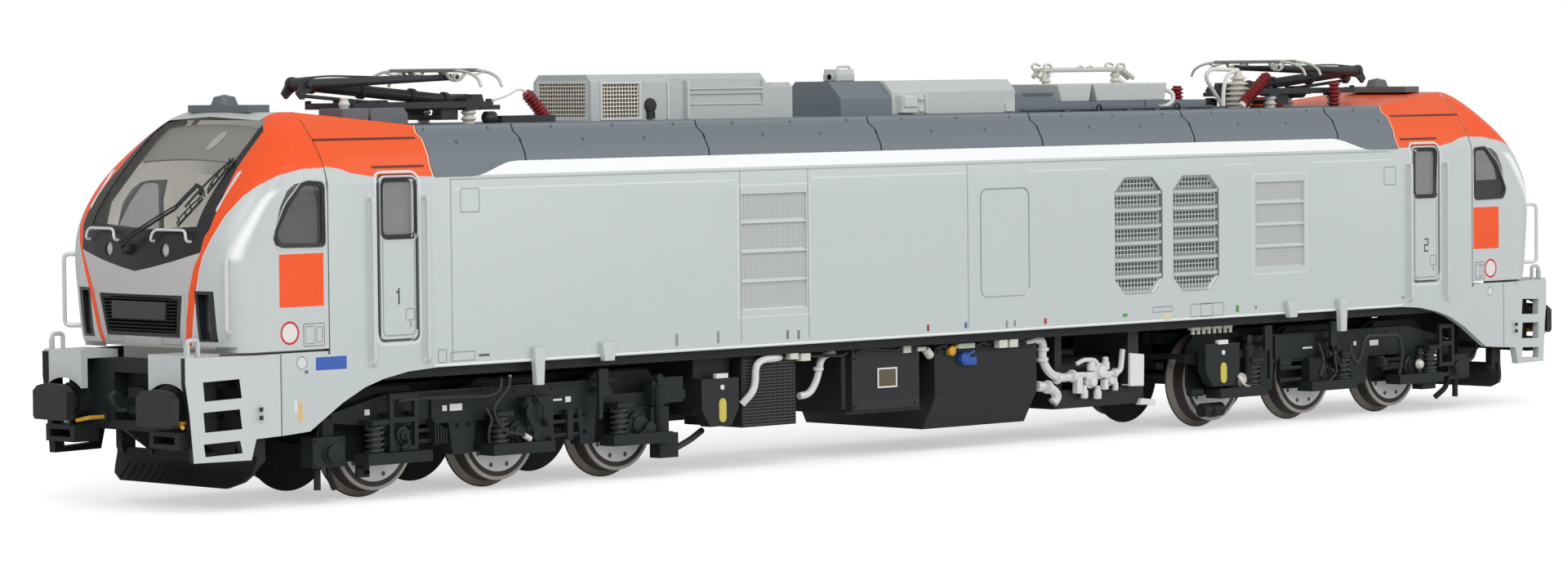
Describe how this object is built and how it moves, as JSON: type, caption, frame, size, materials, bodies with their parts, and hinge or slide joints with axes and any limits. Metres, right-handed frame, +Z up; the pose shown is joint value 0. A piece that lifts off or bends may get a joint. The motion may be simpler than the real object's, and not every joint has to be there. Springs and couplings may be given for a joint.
{
  "type": "model electric locomotive",
  "caption": "Scale model of a six-axle electric locomotive with two cabs, roof pantographs, buffers and swivelling bogies, for running on model rails.",
  "frame": {"origin": "midway between the buffers and sides, at the tips of the wheel flanges", "axes": "+X along the vehicle from cab 1 to cab 2, +Y across it, +Z up"},
  "size_m": [0.2646, 0.0346, 0.053],
  "materials": {
    "antennas": "dark grey",
    "arresters": "dark red",
    "body_shell": "satin light grey paint with orange ends and a white band",
    "bogie_frame": "charcoal",
    "bogie_gear": "charcoal",
    "bogie_springs": "charcoal",
    "buffer_beam": "black",
    "buffers": "dark grey",
    "cab_interior": "pale moulding with a dark desk",
    "cab_shell": "satin light grey and orange paint, black mask around the windscreen",
    "cooling_cowls": "silver grey",
    "couplings": "black",
    "front_skirt": "satin light grey",
    "handrails": "light grey",
    "high_voltage_bar": "silver",
    "jacking_brackets": "light grey",
    "lamps": "clear lenses and smoked marker lamps",
    "motor_block": "plain block standing for motor and ballast",
    "nose_grilles": "black",
    "pantograph_base": "dark grey",
    "pantograph_head": "silver grey",
    "pantograph_lower_arm": "dark grey",
    "pantograph_rod": "dark grey",
    "pantograph_upper_arm": "dark grey",
    "pipework": "silver pipes",
    "roof_cabinets": "silver grey",
    "roof_fairings": "matt slate grey",
    "roof_insulators": "white",
    "roof_panels": "matt slate grey",
    "shunter_handles": "yellow",
    "side_windows": "tinted",
    "snow_plough": "dark grey",
    "under_floor_boxes": "charcoal",
    "underframe": "black",
    "wheelset": "blackened discs with bright treads",
    "windscreens": "clear, lightly tinted",
    "wipers": "black"
  },
  "bodies": {
    "locomotive": {"antennas": "antennas", "arresters": "arresters", "body_shell": "body_shell", "buffer_beam_1": "buffer_beam", "buffer_beam_2": "buffer_beam", "buffers": "buffers", "cab_interior_1": "cab_interior", "cab_interior_2": "cab_interior", "cab_shell_1": "cab_shell", "cab_shell_2": "cab_shell", "cooling_cowls": "cooling_cowls", "couplings": "couplings", "front_skirt_1": "front_skirt", "front_skirt_2": "front_skirt", "handrails": "handrails", "high_voltage_bar": "high_voltage_bar", "jacking_brackets": "jacking_brackets", "lamps": "lamps", "motor_block": "motor_block", "nose_grilles": "nose_grilles", "pantograph_base_1": "pantograph_base", "pantograph_base_2": "pantograph_base", "pipework": "pipework", "roof_cabinets": "roof_cabinets", "roof_fairings": "roof_fairings", "roof_insulators": "roof_insulators", "roof_panels": "roof_panels", "shunter_handles": "shunter_handles", "side_windows": "side_windows", "snow_plough_1": "snow_plough", "snow_plough_2": "snow_plough", "under_floor_boxes": "under_floor_boxes", "underframe": "underframe", "windscreens": "windscreens", "wipers": "wipers"},
    "bogie_1": {"bogie_frame_1": "bogie_frame", "bogie_gear_1": "bogie_gear", "bogie_springs_1": "bogie_springs"},
    "bogie_2": {"bogie_frame_2": "bogie_frame", "bogie_gear_2": "bogie_gear", "bogie_springs_2": "bogie_springs"},
    "pantograph_1_head": {"pantograph_head_1": "pantograph_head"},
    "pantograph_2_head": {"pantograph_head_2": "pantograph_head"},
    "pantograph_1_lower_arm": {"pantograph_lower_arm_1": "pantograph_lower_arm"},
    "pantograph_2_lower_arm": {"pantograph_lower_arm_2": "pantograph_lower_arm"},
    "pantograph_1_rod": {"pantograph_rod_1": "pantograph_rod"},
    "pantograph_2_rod": {"pantograph_rod_2": "pantograph_rod"},
    "pantograph_1_upper_arm": {"pantograph_upper_arm_1": "pantograph_upper_arm"},
    "pantograph_2_upper_arm": {"pantograph_upper_arm_2": "pantograph_upper_arm"},
    "wheels_1": {"wheelset_1": "wheelset"},
    "wheels_2": {"wheelset_2": "wheelset"},
    "wheels_3": {"wheelset_3": "wheelset"},
    "wheels_4": {"wheelset_4": "wheelset"},
    "wheels_5": {"wheelset_5": "wheelset"},
    "wheels_6": {"wheelset_6": "wheelset"}
  },
  "joints": [
    {"name": "bogie_1_swivel", "type": "hinge", "parent": "locomotive", "child": "bogie_1", "pos_m": [-0.078, 0, 0.0125], "axis": [0, 0, 1], "range_deg": [-7, 7]},
    {"name": "wheelset_1_axle", "type": "hinge", "parent": "bogie_1", "child": "wheels_1", "pos_m": [-0.09815, 0, 0.007], "axis": [0, 1, 0], "continuous": true},
    {"name": "wheelset_2_axle", "type": "hinge", "parent": "bogie_1", "child": "wheels_2", "pos_m": [-0.078, 0, 0.007], "axis": [0, 1, 0], "continuous": true},
    {"name": "wheelset_3_axle", "type": "hinge", "parent": "bogie_1", "child": "wheels_3", "pos_m": [-0.05785, 0, 0.007], "axis": [0, 1, 0], "continuous": true},
    {"name": "pantograph_1_raise", "type": "hinge", "parent": "locomotive", "child": "pantograph_1_lower_arm", "pos_m": [-0.0755, 0, 0.0488], "axis": [0, 1, 0], "range_deg": [0, 38]},
    {"name": "pantograph_1_knee", "type": "hinge", "parent": "pantograph_1_lower_arm", "child": "pantograph_1_upper_arm", "pos_m": [-0.1012, 0, 0.0512], "axis": [0, 1, 0], "range_deg": [-83, 0]},
    {"name": "pantograph_1_head_level", "type": "hinge", "parent": "pantograph_1_upper_arm", "child": "pantograph_1_head", "pos_m": [-0.0794, 0, 0.0519], "axis": [0, 1, 0], "range_deg": [0, 46]},
    {"name": "pantograph_1_rod_swing", "type": "hinge", "parent": "locomotive", "child": "pantograph_1_rod", "pos_m": [-0.0805, 0, 0.0479], "axis": [0, 1, 0], "range_deg": [0, 46]},
    {"name": "bogie_2_swivel", "type": "hinge", "parent": "locomotive", "child": "bogie_2", "pos_m": [0.078, 0, 0.0125], "axis": [0, 0, 1], "range_deg": [-7, 7]},
    {"name": "wheelset_4_axle", "type": "hinge", "parent": "bogie_2", "child": "wheels_4", "pos_m": [0.05785, 0, 0.007], "axis": [0, 1, 0], "continuous": true},
    {"name": "wheelset_5_axle", "type": "hinge", "parent": "bogie_2", "child": "wheels_5", "pos_m": [0.078, 0, 0.007], "axis": [0, 1, 0], "continuous": true},
    {"name": "wheelset_6_axle", "type": "hinge", "parent": "bogie_2", "child": "wheels_6", "pos_m": [0.09815, 0, 0.007], "axis": [0, 1, 0], "continuous": true},
    {"name": "pantograph_2_raise", "type": "hinge", "parent": "locomotive", "child": "pantograph_2_lower_arm", "pos_m": [0.0755, 0, 0.0488], "axis": [0, -1, 0], "range_deg": [0, 38]},
    {"name": "pantograph_2_knee", "type": "hinge", "parent": "pantograph_2_lower_arm", "child": "pantograph_2_upper_arm", "pos_m": [0.1012, 0, 0.0512], "axis": [0, -1, 0], "range_deg": [-83, 0]},
    {"name": "pantograph_2_head_level", "type": "hinge", "parent": "pantograph_2_upper_arm", "child": "pantograph_2_head", "pos_m": [0.0794, 0, 0.0519], "axis": [0, -1, 0], "range_deg": [0, 46]},
    {"name": "pantograph_2_rod_swing", "type": "hinge", "parent": "locomotive", "child": "pantograph_2_rod", "pos_m": [0.0805, 0, 0.0479], "axis": [0, -1, 0], "range_deg": [0, 46]}
  ],
  "couplings": [
    {"joint": "pantograph_1_knee", "follows": "pantograph_1_raise", "ratio": -2.18},
    {"joint": "pantograph_1_head_level", "follows": "pantograph_1_raise", "ratio": 1.18},
    {"joint": "pantograph_1_rod_swing", "follows": "pantograph_1_raise", "ratio": 1.19},
    {"joint": "pantograph_2_knee", "follows": "pantograph_2_raise", "ratio": -2.18},
    {"joint": "pantograph_2_head_level", "follows": "pantograph_2_raise", "ratio": 1.18},
    {"joint": "pantograph_2_rod_swing", "follows": "pantograph_2_raise", "ratio": 1.19}
  ]
}
